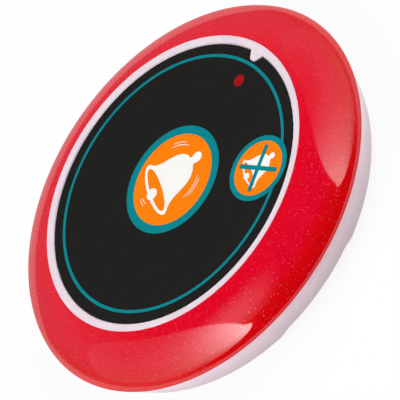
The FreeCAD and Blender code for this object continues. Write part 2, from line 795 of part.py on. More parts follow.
def battery_contact_minus():
    """Contact with a sprung leaf that bows out to the cell's flat end."""
    plate_x = -(CELL_L / 2 + CONTACT_ROOM - TOUCH - CONTACT_T)
    crest_x = -(CELL_L / 2 + TOUCH)
    half = CONTACT_W / 2
    low = cell_z - CONTACT_BUMP_D / 2
    back = plate_x - CONTACT_T / 2
    outer = Part.Arc(vec(back, cell_y - half, low), vec(crest_x, cell_y, low),
                     vec(back, cell_y + half, low)).toShape()
    inner = Part.Arc(vec(back - CONTACT_T / 2, cell_y - half, low),
                     vec(crest_x - CONTACT_T, cell_y, low),
                     vec(back - CONTACT_T / 2, cell_y + half, low)).toShape()
    ends = [Part.makeLine(outer.Vertexes[i].Point, inner.Vertexes[i].Point) for i in (0, 1)]
    leaf = Part.Face(Part.Wire([outer, ends[1], inner, ends[0]]))
    return contact_plate(-1).fuse(leaf.extrude(vec(0, 0, CONTACT_BUMP_D))).removeSplitter()


PIECES = (adhesive_pad, base_plate, seal_ring, top_housing, bezel_ring, overlay_film,
          led_window, call_key, call_key_film, cancel_key, cancel_key_film,
          call_switch_base, call_switch_frame, call_switch_stem,
          cancel_switch_base, cancel_switch_frame, cancel_switch_stem,
          circuit_board, board_screws, status_led, encoder_chip, saw_resonator,
          rf_transistor, chip_parts, antenna_wire,
          battery_cell, battery_tray, battery_contact_plus, battery_contact_minus)


def main():
    os.makedirs("parts", exist_ok=True)
    for make in PIECES:
        shape = make()
        shape.exportStep(f"parts/{make.__name__}.step")
        box = shape.BoundBox
        print(f"{make.__name__}: {len(shape.Solids)} solids, {shape.Volume:.1f} mm3,",
              f"valid {shape.isValid()}, z {box.ZMin:.2f} to {box.ZMax:.2f}")


main()
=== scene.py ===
# %% [markdown]
# # A round call button for a table
#
# The real object is a hand-sized disc. A printed film lies in the middle, a white rim runs
# round it, and a sloping ring of clear red plastic with glitter in it makes the shoulder.
# Under the film are two keys, one to call and one to cancel. The CAD model already has
# every part at its true size, so this lesson starts by loading it and keeps its places.

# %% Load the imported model
import math

import bmesh
import bpy
from mathutils import Matrix, Vector
from mathutils.geometry import delaunay_2d_cdt
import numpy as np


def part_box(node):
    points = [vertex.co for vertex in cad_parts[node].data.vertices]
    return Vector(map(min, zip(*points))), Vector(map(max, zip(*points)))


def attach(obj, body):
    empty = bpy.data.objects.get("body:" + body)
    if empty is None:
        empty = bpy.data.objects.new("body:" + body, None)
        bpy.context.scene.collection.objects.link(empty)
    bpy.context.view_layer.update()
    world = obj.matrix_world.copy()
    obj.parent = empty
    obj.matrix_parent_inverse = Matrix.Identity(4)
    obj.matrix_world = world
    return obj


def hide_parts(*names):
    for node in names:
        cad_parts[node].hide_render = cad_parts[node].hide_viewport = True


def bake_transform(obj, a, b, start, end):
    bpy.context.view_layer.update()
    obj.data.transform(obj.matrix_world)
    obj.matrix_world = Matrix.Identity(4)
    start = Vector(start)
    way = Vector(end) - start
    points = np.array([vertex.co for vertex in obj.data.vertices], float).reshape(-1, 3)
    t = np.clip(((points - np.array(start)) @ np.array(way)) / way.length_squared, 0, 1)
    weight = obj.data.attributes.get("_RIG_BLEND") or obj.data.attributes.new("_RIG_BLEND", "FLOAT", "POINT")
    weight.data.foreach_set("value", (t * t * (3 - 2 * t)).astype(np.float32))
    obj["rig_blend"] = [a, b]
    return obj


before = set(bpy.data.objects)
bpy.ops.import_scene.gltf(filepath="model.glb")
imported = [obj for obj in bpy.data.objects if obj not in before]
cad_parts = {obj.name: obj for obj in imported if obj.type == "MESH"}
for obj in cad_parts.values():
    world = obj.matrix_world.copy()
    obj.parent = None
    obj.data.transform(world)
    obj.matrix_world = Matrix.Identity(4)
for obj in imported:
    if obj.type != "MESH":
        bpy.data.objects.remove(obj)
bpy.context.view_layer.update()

# %% [markdown]
# ## Sizes
#
# Blender works in metres here, but a thing this small is easier to think about in
# millimetres. One factor turns the written sizes into metres. What the CAD model knows,
# such as the film's height or a key's middle, is asked from its boxes and not typed again.

# %% Sizes in millimetres
MM = 0.001


def mm_box(node):
    """A CAD node's lowest and highest corners, in millimetres."""
    low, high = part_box(node)
    return low / MM, high / MM


film_low, film_high = mm_box("overlay_film")
film_r, film_z = film_high.x, film_high.z
call_low, call_high = mm_box("call_key_film")
cancel_low, cancel_high = mm_box("cancel_key_film")
call_at = (call_low + call_high) / 2
cancel_at = (cancel_low + cancel_high) / 2
print("film radius", round(film_r, 2), "call key at", call_at.xy, "cancel key at", cancel_at.xy)

# %% [markdown]
# ## The camera
#
# The photograph looks down at 39 degrees from the finger scoop's side, through a long
# lens, and the picture is rolled by 56 degrees. A camera fitted to the printed circles
# gave these numbers. The rotation is built from the view's own three axes and then turned
# by small pan and tilt angles, which keeps the lens free of any shift.

# %% Camera
CAMERA_ELEVATION = 39.42
CAMERA_REACH = 589.1873
CAMERA_PAN, CAMERA_TILT, CAMERA_ROLL = 0.026, 0.665, 55.96
CAMERA_LENS = 268.8

rise = math.radians(CAMERA_ELEVATION)
back = Vector((math.cos(rise), 0, math.sin(rise)))
right = Vector((0, 1, 0))
axes = Matrix((right, back.cross(right), back)).transposed()
for angle, axis in ((CAMERA_PAN, "Y"), (CAMERA_TILT, "X"), (CAMERA_ROLL, "Z")):
    axes = axes @ Matrix.Rotation(-math.radians(angle), 3, axis)

camera = bpy.data.objects.new("camera", bpy.data.cameras.new("camera"))
camera.data.lens = CAMERA_LENS
camera.data.clip_start, camera.data.clip_end = 0.05, 20
camera.matrix_world = axes.to_4x4()
camera.location = (back * CAMERA_REACH + Vector((0, 0, film_z))) * MM
bpy.context.scene.collection.objects.link(camera)
bpy.context.scene.camera = camera
bpy.context.scene.view_settings.view_transform = "Standard"
print("camera at, mm:", [round(c / MM, 1) for c in camera.location])

# %% [markdown]
# ## Writing node trees as sums
#
# Materials and Geometry Nodes are both trees of nodes. A small class wraps one socket, so
# that a pattern can be written as a sum, and the class adds the Math nodes itself. Another
# class holds the tree and adds every other kind of node: first its settings, then the
# values or links of its sockets.

# %% Sockets that take part in sums


class Wire:
    """One output socket, which can be added, scaled and compared like a number."""

    def __init__(self, board, socket):
        self.board, self.socket = board, socket

    def math(self, operation, *values):
        return self.board.add("ShaderNodeMath", {"operation": operation}, values)

    def __add__(self, other):
        return self.math("ADD", self, other)

    def __sub__(self, other):
        return self.math("SUBTRACT", self, other)

    def __rsub__(self, other):
        return self.math("SUBTRACT", other, self)

    def __mul__(self, other):
        return self.math("MULTIPLY", self, other)

    def __truediv__(self, other):
        return self.math("DIVIDE", self, other)

    def __pow__(self, other):
        return self.math("POWER", self, other)

    __radd__ = __add__
    __rmul__ = __mul__

    def above(self, limit):
        return self.math("GREATER_THAN", self, limit)

    def ramp(self, low, high):
        """0 up to low, 1 from high, and a soft rise between them."""
        settings = {"interpolation_type": "SMOOTHSTEP"}
        values = {"Value": self, "From Min": low, "From Max": high}
        return self.board.add("ShaderNodeMapRange", settings, values)

    def of(self, output):
        """Another output of the same node."""
        return Wire(self.board, socket_of(self.socket.node.outputs, output))


def socket_of(sockets, key):
    """The socket with this place, identifier or name."""
    if isinstance(key, int):
        return sockets[key]
    same = [s for s in sockets if s.identifier == key] or [s for s in sockets if s.name == key]
    return same[0]


class Board:
    """A node tree that is being built."""

    def __init__(self, tree):
        self.tree = tree

    def put(self, target, value):
        """Links a wire to a socket, or writes a plain value into it."""
        if isinstance(value, Wire):
            self.tree.links.new(value.socket, target)
        else:
            target.default_value = value

    def add(self, kind, settings=None, values=(), output=0):
        """A node with its settings, then the values or wires of its sockets."""
        node = self.tree.nodes.new(kind)
        for name, value in (settings or {}).items():
            setattr(node, name, value)
        pairs = values.items() if isinstance(values, dict) else enumerate(values)
        for key, value in pairs:
            self.put(socket_of(node.inputs, key), value)
        return Wire(self, socket_of(node.outputs, output)) if node.outputs else node

    def vector(self, operation, *values):
        return self.add("ShaderNodeVectorMath", {"operation": operation}, values)

    def mix(self, share, first, second):
        """A blend of two colours."""
        values = {"Factor_Float": share, "A_Color": first, "B_Color": second}
        return self.add("ShaderNodeMix", {"data_type": "RGBA"}, values, "Result_Color")


# %% [markdown]
# ## Finishes
#
# Each finish is one Principled BSDF. What is the same all over, such as the coat's
# roughness, is written straight on its sockets. What changes over the surface, which is
# the colour, the roughness, the bump and once the coat's weight, comes from patterns that
# read the object's own coordinates, so nothing slides when a part moves. The coordinates
# are turned into millimetres first, so a noise scale of 2 means two bumps a millimetre.

# %% A builder for finishes


def srgb(red, green, blue):
    """A colour as a picture editor shows it, turned into the linear values Blender uses."""
    parts = [c / 255 for c in (red, green, blue)]
    linear = [c / 12.92 if c <= 0.04045 else ((c + 0.055) / 1.055) ** 2.4 for c in parts]
    return (*linear, 1.0)


def darker(colour, share):
    """The same colour with this share of its light taken away."""
    return (*(c * (1 - share) for c in colour[:3]), 1.0)


class Finish(Board):
    """A material with its shader, and patterns measured in millimetres."""

    def __init__(self, name, **constants):
        self.material = bpy.data.materials.new(name)
        self.material.use_nodes = True
        super().__init__(self.material.node_tree)
        self.shader = self.tree.nodes["Principled BSDF"]
        for key, value in constants.items():
            self.shader.inputs[key.replace("_", " ")].default_value = value
        place = self.add("ShaderNodeTexCoord", output="Object")
        self.place = self.vector("MULTIPLY", place, (1 / MM, 1 / MM, 1 / MM))

    def noise(self, scale, detail=2.0, stretch=(1, 1, 1)):
        at = self.vector("MULTIPLY", self.place, stretch)
        values = {"Vector": at, "Scale": scale, "Detail": detail}
        return self.add("ShaderNodeTexNoise", None, values, "Fac")

    def cells(self, scale):
        """The distance to the nearest cell's middle."""
        values = {"Vector": self.place, "Scale": scale}
        return self.add("ShaderNodeTexVoronoi", None, values, "Distance")

    def axis(self, letter):
        return self.add("ShaderNodeSeparateXYZ", None, [self.place], letter)

    def wear(self, colour, roughness, bump=None, height=0.0):
        """Plugs in the colour, the roughness and a bump whose height is in millimetres."""
        self.put(self.shader.inputs["Base Color"], colour)
        self.put(self.shader.inputs["Roughness"], roughness)
        if bump is not None:
            values = {"Height": bump, "Distance": height * MM}
            normal = self.add("ShaderNodeBump", None, values, "Normal")
            self.put(self.shader.inputs["Normal"], normal)
        return self.material


# %% [markdown]
# ### White plastic
#
# The housing is a pearly white with a hint of lavender. Moulded plastic has a very fine
# eggshell texture and slow, faint changes of tone. Two noises do that: a slow one for the
# tone and a fine one for the skin. Towards its foot the wall is painted a little greyer, a
# painted shade for the light that reaches it less there. Just below the ring it is painted
# a little rosier, a painted glow for the red light that the clear ring lets through. The
# height alone decides how much.

# %% White plastic


def white_plastic():
    skin = Finish("white plastic", Coat_Weight=0.25, Coat_Roughness=0.12, IOR=1.49)
    tone = skin.noise(0.12)
    pearl = skin.noise(6.0, 3.0)
    colour = skin.mix(tone.ramp(0.35, 0.65), srgb(241, 225, 234), srgb(236, 219, 230))
    height = skin.axis("Z")
    # Painted shade: the wall's colour turns greyer towards its foot, where less light reaches it.
    painted_shade_towards_foot = height.ramp(7.5, 0.3)
    # Painted light: a rosy tint just below the ring stands for red light that the clear ring lets through
    # onto the wall.
    painted_red_glow_below_ring = height.ramp(4.5, 8.0) * height.ramp(10.0, 9.0)
    colour = skin.mix(painted_shade_towards_foot, colour, srgb(202, 175, 187))
    colour = skin.mix(painted_red_glow_below_ring, colour, srgb(255, 226, 240))
    colour = skin.mix(pearl.ramp(0.6, 0.8) * 0.25, colour, srgb(243, 236, 242))
    return skin.wear(colour, 0.3 + 0.1 * skin.noise(3.0), skin.noise(9.0, 3.0), 0.004)


# %% [markdown]
# ### Red plastic with glitter
#
# The ring is clear red plastic, a little deeper on its shoulder, with tiny pale flakes
# cast into it. A clear coat gives the sharp reflections of the two softboxes, and is weaker
# on the lip at the ring's foot, which is less polished than the rest. The red below the
# coat has no gloss of its own, so the colour stays deep between the reflections. The
# flakes in the depth are small cells of a Voronoi pattern: only the few cells whose
# random colour is highest light up. The largest flakes are real little plates, which
# come later.

# %% Red plastic


def red_plastic():
    glass = Finish("red glitter plastic", Coat_Roughness=0.05, Coat_IOR=2.5,
                   Specular_IOR_Level=0.0)
    x, y = glass.axis("X"), glass.axis("Y")
    above_lip = glass.axis("Z").ramp(8.8, 9.7)
    glass.put(glass.shader.inputs["Coat Weight"], 0.15 + 0.22 * above_lip)
    radius = (x * x + y * y) ** 0.5
    cloud = glass.noise(0.25, 3.0)
    outer_half, shoulder = radius.ramp(33.5, 37.0), radius.ramp(38.5, 41.0)
    colour = glass.mix(outer_half, srgb(232, 0, 34), srgb(228, 0, 38))
    colour = glass.mix(cloud.ramp(0.35, 0.75) * 0.5, colour, srgb(230, 8, 46))
    colour = glass.mix(shoulder, colour, srgb(222, 0, 10))
    middle = glass.cells(4.2)
    lottery = glass.add("ShaderNodeSeparateColor", None, [middle.of("Color")], "Red")
    spark = lottery.ramp(0.93, 0.97) * (1 - middle.ramp(0.18, 0.42))
    colour = glass.mix(spark * 0.55, colour, srgb(250, 150, 165))
    return glass.wear(colour, 0.4 + 0.12 * cloud - 0.1 * spark, glass.noise(1.6, 2.0), 0.003)


# %% [markdown]
# ### Film and inks
#
# The film is printed polyester with a fine matt grain, so it shows almost no reflection.
# The inks are the same film in other colours. Screen printing leaves a faint mottle,
# which a quick noise gives.

# %% Film and inks


def printed(name, ink, mottle=0.15):
    """A matt printed colour with a faint mottle and the film's grain."""
    film = Finish(name, Specular_IOR_Level=0.12)
    speck = film.noise(5.0, 3.0)
    colour = film.mix(speck.ramp(0.3, 0.75), ink, darker(ink, mottle))
    return film.wear(colour, 0.62 + 0.12 * film.noise(2.0), film.noise(14.0, 2.0), 0.003)


# %% [markdown]
# ### The lamp's window and what lies inside
#
# The window is a clear dark red dot. The rest is seen only when the button is turned over
# or opened: foam with open cells, rubber, green circuit board with its tracks, tinned and
# nickel-plated metal, copper wire and the battery's jacket. They share a few builders.

# %% Window, foam, board and metals


def lamp_red(name, colour, roughness):
    """Clear red resin, darker away from the lamp's middle."""
    resin = Finish(name, Specular_IOR_Level=0.1)
    x, y = resin.axis("X"), resin.axis("Y")
    lamp_low, lamp_high = mm_box("led_window")
    lamp = (lamp_low + lamp_high) / 2
    away = ((x - lamp.x) ** 2 + (y - lamp.y) ** 2) ** 0.5
    shade = resin.mix(away.ramp(0.8, 1.6), colour, darker(colour, 0.25))
    return resin.wear(shade, roughness + 0.08 * resin.noise(3.0), resin.noise(4.0), 0.004)


def dull(name, colour, grain, roughness, height, spread=0.35):
    """Moulded plastic, rubber or ceramic: one colour with its own grain."""
    body = Finish(name)
    speck = body.noise(grain, 4.0)
    shade = body.mix(speck.ramp(0.35, 0.7), colour, darker(colour, spread))
    return body.wear(shade, roughness + 0.15 * body.noise(grain / 2), speck, height)


def foam():
    pad = Finish("black foam")
    pores = pad.cells(2.6)
    colour = pad.mix(pores.ramp(0.1, 0.55), srgb(22, 22, 24), srgb(58, 58, 60))
    return pad.wear(colour, 0.85 + 0.1 * pad.noise(2.0), pores, 0.12)


def metal(name, colour, stretch, roughness=0.28):
    """Plated metal with fine lines along the way it was drawn or rolled."""
    plate = Finish(name, Metallic=1.0)
    lines = plate.noise(3.0, 3.0, stretch)
    stain = plate.noise(0.6, 2.0)
    shade = plate.mix(stain.ramp(0.4, 0.8), colour, darker(colour, 0.28))
    return plate.wear(shade, roughness + 0.2 * lines, lines, 0.003)


def board_green():
    board = Finish("solder mask", Coat_Weight=0.4, Coat_Roughness=0.15)
    tracks = board.add("ShaderNodeTexBrick", {"offset": 0.35},
                       {"Vector": board.place, "Scale": 0.22, "Mortar Size": 0.035,
                        "Mortar Smooth": 0.15, "Brick Width": 1.3, "Row Height": 0.42}, "Fac")
    colour = board.mix(tracks, srgb(14, 96, 52), srgb(34, 138, 80))
    colour = board.mix(board.noise(0.4).ramp(0.4, 0.8) * 0.4, colour, srgb(8, 70, 40))
    return board.wear(colour, 0.35 + 0.1 * board.noise(4.0), tracks, 0.02)


def jacket():
    sleeve = Finish("battery jacket", Coat_Weight=0.5, Coat_Roughness=0.1)
    x = sleeve.axis("X")
    steel = x.above(12.6)
    band = x.above(7.4) * (1 - steel)
    colour = sleeve.mix(band, srgb(66, 70, 78), srgb(196, 150, 60))
    colour = sleeve.mix(steel, colour, srgb(190, 190, 186))
    colour = sleeve.mix(sleeve.noise(0.5).ramp(0.4, 0.8) * 0.3, colour, srgb(40, 42, 48))
    return sleeve.wear(colour, 0.32 + 0.1 * sleeve.noise(3.0), sleeve.noise(2.0), 0.006)


WHITE = white_plastic()
RED = red_plastic()
BLACK_FILM = printed("black film", srgb(30, 29, 28), 0.125)
TEAL = printed("teal ink", srgb(0, 136, 145))
ORANGE = printed("orange ink", srgb(255, 130, 0), 0.075)
WHITE_INK = printed("white ink", srgb(250, 248, 244), 0.05)
WINDOW = lamp_red("red window", srgb(160, 18, 24), 0.3)
print("finishes so far:", len(bpy.data.materials))

# %% [markdown]
# ### Finishes for the CAD parts that stay
#
# Most CAD parts already have the right shape, so they only change their material. A
# table of node names and finishes does it in one loop.

# %% Dress the CAD parts
black_plastic = dull("black moulding", srgb(38, 38, 40), 3.0, 0.45, 0.01)
tin = metal("tinned metal", srgb(205, 205, 200), (1, 6, 1))
nickel = metal("nickel plate", srgb(200, 196, 186), (6, 1, 1))
key_white = dull("key plastic", srgb(222, 220, 216), 4.0, 0.4, 0.004, 0.06)

dressing = {
    WHITE: ["top_housing", "base_plate"],
    RED: ["bezel_ring"],
    WINDOW: ["led_window"],
    lamp_red("lamp resin", srgb(200, 30, 34), 0.4): ["status_led"],
    foam(): ["adhesive_pad"],
    dull("seal rubber", srgb(30, 30, 32), 2.0, 0.7, 0.01): ["seal_ring"],
    key_white: ["call_key", "cancel_key"],
    black_plastic: ["call_switch_base", "cancel_switch_base", "call_switch_stem",
                    "cancel_switch_stem", "encoder_chip", "rf_transistor", "battery_tray"],
    tin: ["call_switch_frame", "cancel_switch_frame", "saw_resonator"],
    nickel: ["battery_contact_plus", "battery_contact_minus"],
    metal("zinc screws", srgb(186, 190, 194), (4, 4, 1)): ["board_screws"],
    dull("chip ceramic", srgb(160, 134, 108), 5.0, 0.5, 0.006): ["chip_parts"],
    board_green(): ["circuit_board"],
    metal("copper wire", srgb(206, 130, 76), (1, 1, 1)): ["antenna_wire"],
    jacket(): ["battery_cell"],
}
for material, names in dressing.items():
    for name in names:
        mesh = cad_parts[name].data
        mesh.materials.clear()
        mesh.materials.append(material)
print("dressed", sum(map(len, dressing.values())), "CAD parts")

# %% [markdown]
# ## Flat plates from cut lines
#
# The film and every printed shape are flat. A good way to make one is to draw closed cut
# lines, let Blender triangulate everything between them, and then keep the triangles that
# belong. Each plate gets a top, a bottom and walls, so that it is a closed solid.

# %% Plates
SAME_PLACE = 1e-5


def circle(radius, at=(0, 0), count=256):
    """Places round a circle, in millimetres."""
    turns = [2 * math.pi / count * i for i in range(count)]
    return [(at[0] + radius * math.cos(turn), at[1] + radius * math.sin(turn)) for turn in turns]


def mirrored(right):
    """A loop from its right half, which is drawn upwards."""
    return right + [(-x, y) for x, y in reversed(right)]


def inside(point, loop):
    """Whether a point is inside a closed loop, by counting the walls to its right."""
    hit = False
    x, y = point
    for (x0, y0), (x1, y1) in zip(loop, loop[1:] + loop[:1]):
        if (y0 > y) != (y1 > y) and x < x0 + (y - y0) * (x1 - x0) / (y1 - y0):
            hit = not hit
    return hit


def plate(name, loops, paint, low, high, materials):
    """A closed flat solid. paint(point) gives a material's place in the list, or None for
    a part that is cut away."""
    spots, walls = [], []
    for loop in loops:
        first = len(spots)
        spots += [Vector(p) for p in loop]
        walls += [(first + i, first + (i + 1) % len(loop)) for i in range(len(loop))]
    points, _, triangles, *_ = delaunay_2d_cdt(spots, walls, [], 0, SAME_PLACE)
    build = bmesh.new()
    top = [build.verts.new((p.x * MM, p.y * MM, high * MM)) for p in points]
    bottom = [build.verts.new((p.x * MM, p.y * MM, low * MM)) for p in points]
    kept = []
    for triangle in triangles:
        middle = sum((points[i] for i in triangle), Vector((0, 0))) / 3
        slot = paint((middle.x, middle.y))
        if slot is not None:
            kept.append((triangle, slot))
    rims = {}
    for triangle, slot in kept:
        for verts in ([top[i] for i in triangle], [bottom[i] for i in reversed(triangle)]):
            build.faces.new(verts).material_index = slot
        for a, b in zip(triangle, [*triangle[1:], triangle[0]]):
            if (b, a) in rims:
                del rims[(b, a)]
            else:
                rims[(a, b)] = slot
    for (a, b), slot in rims.items():
        build.faces.new((bottom[a], bottom[b], top[b], top[a])).material_index = slot
    bmesh.ops.delete(build, geom=[v for v in build.verts if not v.link_faces], context="VERTS")
    return piece_of(name, build, materials)


def piece_of(name, build, materials):
    """Turns a finished build into an object at the origin."""
    mesh = bpy.data.meshes.new(name)
    build.to_mesh(mesh)
    build.free()
    for material in materials:
        mesh.materials.append(material)
    piece = bpy.data.objects.new(name, mesh)
    bpy.context.scene.collection.objects.link(piece)
    print(name, len(mesh.polygons), "faces")
    return piece


# %% [markdown]
# ## The printed film
#
# The film is one sheet on the real button, and it dishes a little where a finger presses
# a key. Here it is three pieces that meet at the outer edge of each teal ring, where the
# change of colour hides the joint: a wide sheet that stays with the housing, and a disc
# over each key. The sheet has a notch for the housing's tooth, a hole for the lamp's
# window and the thin teal line near its edge, which stops at the cancel key.

# %% The wide sheet
CALL_RING, CALL_DISC, CALL_STEPS = 11.82, 10.02, 128
CANCEL_RING, CANCEL_DISC, CANCEL_STEPS = 7.03, 5.88, 112
LINE_R, LINE_W = 28.0, 0.67
NOTCH = {"half_base": 2.05, "half_tip": 0.7, "length": 1.85, "round": 0.9}
WINDOW_FIT = 0.03

window_low, window_high = mm_box("led_window")
window_at = (window_low + window_high) / 2
window_r = (window_high.x - window_low.x) / 2 + WINDOW_FIT


def notch():
    """The film's cut-out for the tooth, with rounded inner corners."""
    tip_y = film_r - NOTCH["length"]
    flare = NOTCH["half_base"] - NOTCH["half_tip"]
    lean = math.atan2(flare, NOTCH["length"])
    turn = math.pi / 2 - lean
    middle = (NOTCH["half_tip"] - NOTCH["round"] * math.tan(turn / 2), tip_y + NOTCH["round"])
    right = [(middle[0] + NOTCH["round"] * math.sin(turn * step / 10),
              middle[1] - NOTCH["round"] * math.cos(turn * step / 10)) for step in range(11)]
    right.append((NOTCH["half_base"] + flare, film_r + NOTCH["length"]))
    return mirrored(right)


cuts = [notch(), circle(CALL_RING, call_at, CALL_STEPS),
        circle(CANCEL_RING, cancel_at, CANCEL_STEPS), circle(window_r, window_at, 40)]
edges = [circle(film_r), *cuts, circle(LINE_R + LINE_W / 2), circle(LINE_R - LINE_W / 2)]


def film_paint(point):
    away = math.hypot(*point)
    if away > film_r or any(inside(point, cut) for cut in cuts):
        return None
    return 1 if abs(away - LINE_R) < LINE_W / 2 else 0


film_sheet = plate("film_sheet", edges, film_paint, film_low.z, film_z, [BLACK_FILM, TEAL])
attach(film_sheet, "housing")
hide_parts("overlay_film")

# %% [markdown]
# ### A disc over each key
#
# Each disc is a set of rings, close together near its edge. There the film bends: a
# weight on every point says how far it follows the key, from nothing at the teal ring's
# outer edge to all of it over the key's cap. The blend is first asked for between the two
# bodies, and then its weights are written again by distance from the key's middle.

# %% Key discs
BEND, BEND_RINGS = 1.1, 8
INNER_RINGS = (0.35, 0.7)
COLOUR_EDGE = 0.01


def key_disc(name, key, at, ring, disc, count):
    """A disc of film over a key, orange out to disc and teal from there out to ring."""
    radii = [disc * share for share in INNER_RINGS] + [disc - COLOUR_EDGE, disc]
    radii += [ring - BEND + BEND * i / BEND_RINGS for i in range(BEND_RINGS + 1)]
    radii = sorted({round(r, 4) for r in radii})
    build = bmesh.new()
    layers = []
    for height in (film_z, film_low.z):
        rings = [[build.verts.new((x * MM, y * MM, height * MM)) for x, y in circle(r, at, count)]
                 for r in radii]
        layers.append((build.verts.new((at[0] * MM, at[1] * MM, height * MM)), rings))
    for (middle, rings), flip in zip(layers, (False, True)):
        for i in range(count):
            j = (i + 1) % count
            faces = [(middle, rings[0][i], rings[0][j])]
            faces += [(a[i], b[i], b[j], a[j]) for a, b in zip(rings, rings[1:])]
            for place, corners in enumerate(faces):
                face = build.faces.new(corners[::-1] if flip else corners)
                face.material_index = 0 if radii[place] <= disc + 1e-6 else 1
    for i in range(count):
        j = (i + 1) % count
        upper, lower = layers[0][1][-1], layers[1][1][-1]
        build.faces.new((lower[i], lower[j], upper[j], upper[i])).material_index = 1
    piece = piece_of(name, build, [ORANGE, TEAL])
    bend_with(piece, key, at, ring)
    return piece


def bend_with(piece, key, at, ring):
    """Blends a piece between housing and key by the distance from the key's middle."""
    middle = Vector((at[0], at[1], film_z)) * MM
    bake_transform(piece, "housing", key, start=middle + Vector((ring * MM, 0, 0)), end=middle)
    weights = piece.data.attributes["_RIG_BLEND"].data
    for vertex, weight in zip(piece.data.vertices, weights):
        away = (vertex.co.xy - middle.xy).length / MM
        share = min(1.0, max(0.0, (ring - away) / BEND))
        weight.value = share * share * (3 - 2 * share)


call_film = key_disc("call_film", "call_key", call_at, CALL_RING, CALL_DISC, CALL_STEPS)
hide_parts("call_key_film")
cancel_film = key_disc("cancel_film", "cancel_key", cancel_at, CANCEL_RING, CANCEL_DISC,
                       CANCEL_STEPS)
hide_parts("cancel_key_film")

# %% [markdown]
# ## The printed signs
#
# The call key carries a plain hand bell with a few thin lines of sound, and the cancel key
# a smaller bell with a teal cross over it. They are thin layers of ink on the film. The
# bell is drawn upright round the middle of its mouth and then tilted.

# %% Bell and cross
INK = 0.03
BELL_TILT = -26.0
CLAPPER_AT = (0.2, -1.2)


def oval(half_width, half_height, at=(0, 0), count=64, start=0.0, turn=360.0):
    """Places along an oval, or along a part of it."""
    closed = turn == 360.0
    steps = count if closed else count + 1
    return [(at[0] + half_width * math.cos(math.radians(start + turn * i / count)),
             at[1] + half_height * math.sin(math.radians(start + turn * i / count)))
            for i in range(steps)]


def placed(loop, at, size=1.0, tilt=BELL_TILT):
    """A drawn loop, scaled, tilted and moved to its place on the film."""
    c, s = math.cos(math.radians(tilt)), math.sin(math.radians(tilt))
    return [(at[0] + size * (x * c - y * s), at[1] + size * (x * s + y * c)) for x, y in loop]


bell_side = [(6.7, 0.0), (6.1, 0.75), (5.2, 1.8), (4.65, 3.2), (4.35, 4.9), (3.95, 6.5),
             (3.2, 7.9), (2.1, 8.8), (0.95, 9.2), (0.85, 9.75)]
bell_body = mirrored(bell_side)
bell_knob = circle(1.15, (0, 10.55), 32)
bell_mouth = oval(6.7, 2.05)
bell_hollow = oval(5.75, 1.35, (0, -0.05))
bell_clapper = circle(1.25, CLAPPER_AT, 32)


def bell(name, key, at, size):
    """A bell in white ink. The hollow of its mouth stays orange, apart from the clapper."""
    white = [placed(loop, at, size) for loop in (bell_body, bell_knob, bell_mouth)]
    hollow = placed(bell_hollow, at, size)
    clapper = placed(bell_clapper, at, size)

    def paint(point):
        if inside(point, clapper):
            return 0
        if inside(point, hollow):
            return None
        return 0 if any(inside(point, loop) for loop in white) else None

    piece = plate(name, [*white, hollow, clapper], paint, film_z - INK / 2, film_z + INK,
                  [WHITE_INK])
    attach(piece, key)
    return piece


def stroke(points, width):
    """A loop round a line of places, this wide in the middle and thin at its ends."""
    left, right = [], []
    for i, (x, y) in enumerate(points):
        x0, y0 = points[max(i - 1, 0)]
        x1, y1 = points[min(i + 1, len(points) - 1)]
        reach = math.hypot(x1 - x0, y1 - y0)
        share = math.sin(math.pi * i / (len(points) - 1)) ** 0.5
        half = width / 2 * (0.25 + 0.75 * share)
        nx, ny = -(y1 - y0) / reach * half, (x1 - x0) / reach * half
        left.append((x + nx, y + ny))
        right.append((x - nx, y - ny))
    return left + right[::-1]


CALL_BELL_SIZE, CANCEL_BELL_SIZE = 1.04, 0.57
call_bell_at = (call_at.x - 2.3, call_at.y - 3.5)
bell("bell_sign", "call_key", call_bell_at, CALL_BELL_SIZE)

# %% [markdown]
# Thin lines of sound beside the bell are arcs with tapered ends, drawn as one piece.

# %% Sound lines
SIDE_LINES = ((6.7, 28, 48), (7.35, 30, 34), (6.9, 146, 40), (7.55, 148, 28))
SIDE_MIDDLE, SIDE_LINE_W = (0, 4.6), 0.15
MOUTH_LINES, MOUTH_LINE_W = (2.3, 2.9), 0.13


def within(loops):
    """Paints only what lies inside one of the loops."""
    return lambda point: 0 if any(inside(point, loop) for loop in loops) else None


sound = []
for radius, middle, spread in SIDE_LINES:
    line = oval(radius, radius, SIDE_MIDDLE, 24, middle - spread / 2, spread)
    sound.append(placed(stroke(line, SIDE_LINE_W), call_bell_at))
for radius in MOUTH_LINES:
    line = oval(radius, radius, CLAPPER_AT, 16, 250, 50)
    sound.append(placed(stroke(line, MOUTH_LINE_W), call_bell_at))
sound_lines = plate("sound_lines", sound, within(sound), film_z - INK / 2, film_z + INK,
                    [WHITE_INK])
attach(sound_lines, "call_key")

# %% [markdown]
# The cancel key's bell is half as large, and two teal bars cross over it, one at a right
# angle to the other. They lie a little higher than the white ink.

# %% Small bell and cross
CROSS_HALF, CROSS_HALF_WIDTH, CROSS_TILT = 5.0, 0.47, 19.0
cancel_bell_at = (cancel_at.x - 1.2, cancel_at.y - 1.9)
bell("small_bell", "cancel_key", cancel_bell_at, CANCEL_BELL_SIZE)
bar = [(-CROSS_HALF, CROSS_HALF_WIDTH), (CROSS_HALF, CROSS_HALF_WIDTH),
       (CROSS_HALF, -CROSS_HALF_WIDTH), (-CROSS_HALF, -CROSS_HALF_WIDTH)]
cross = [placed(bar, cancel_at, 1.0, CROSS_TILT + turn) for turn in (0, 90)]
cross_sign = plate("cross_sign", cross, within(cross), film_z, film_z + 2 * INK, [TEAL])
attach(cross_sign, "cancel_key")

# %% [markdown]
# ## Glitter plates
#
# The largest flakes in the red ring catch the light as single points. Geometry Nodes
# scatter them: points on the ring's faces, a small six-sided plate on each, turned along
# the surface with a random tilt, and at last made real, because a file can't keep
# instances. A fixed seed gives the same flakes every time. The tree is drawn here, and it
# runs when the ring is there.

# %% Glitter tree
FLAKE_SIDES, SMALLEST_FLAKE = 6, 0.45


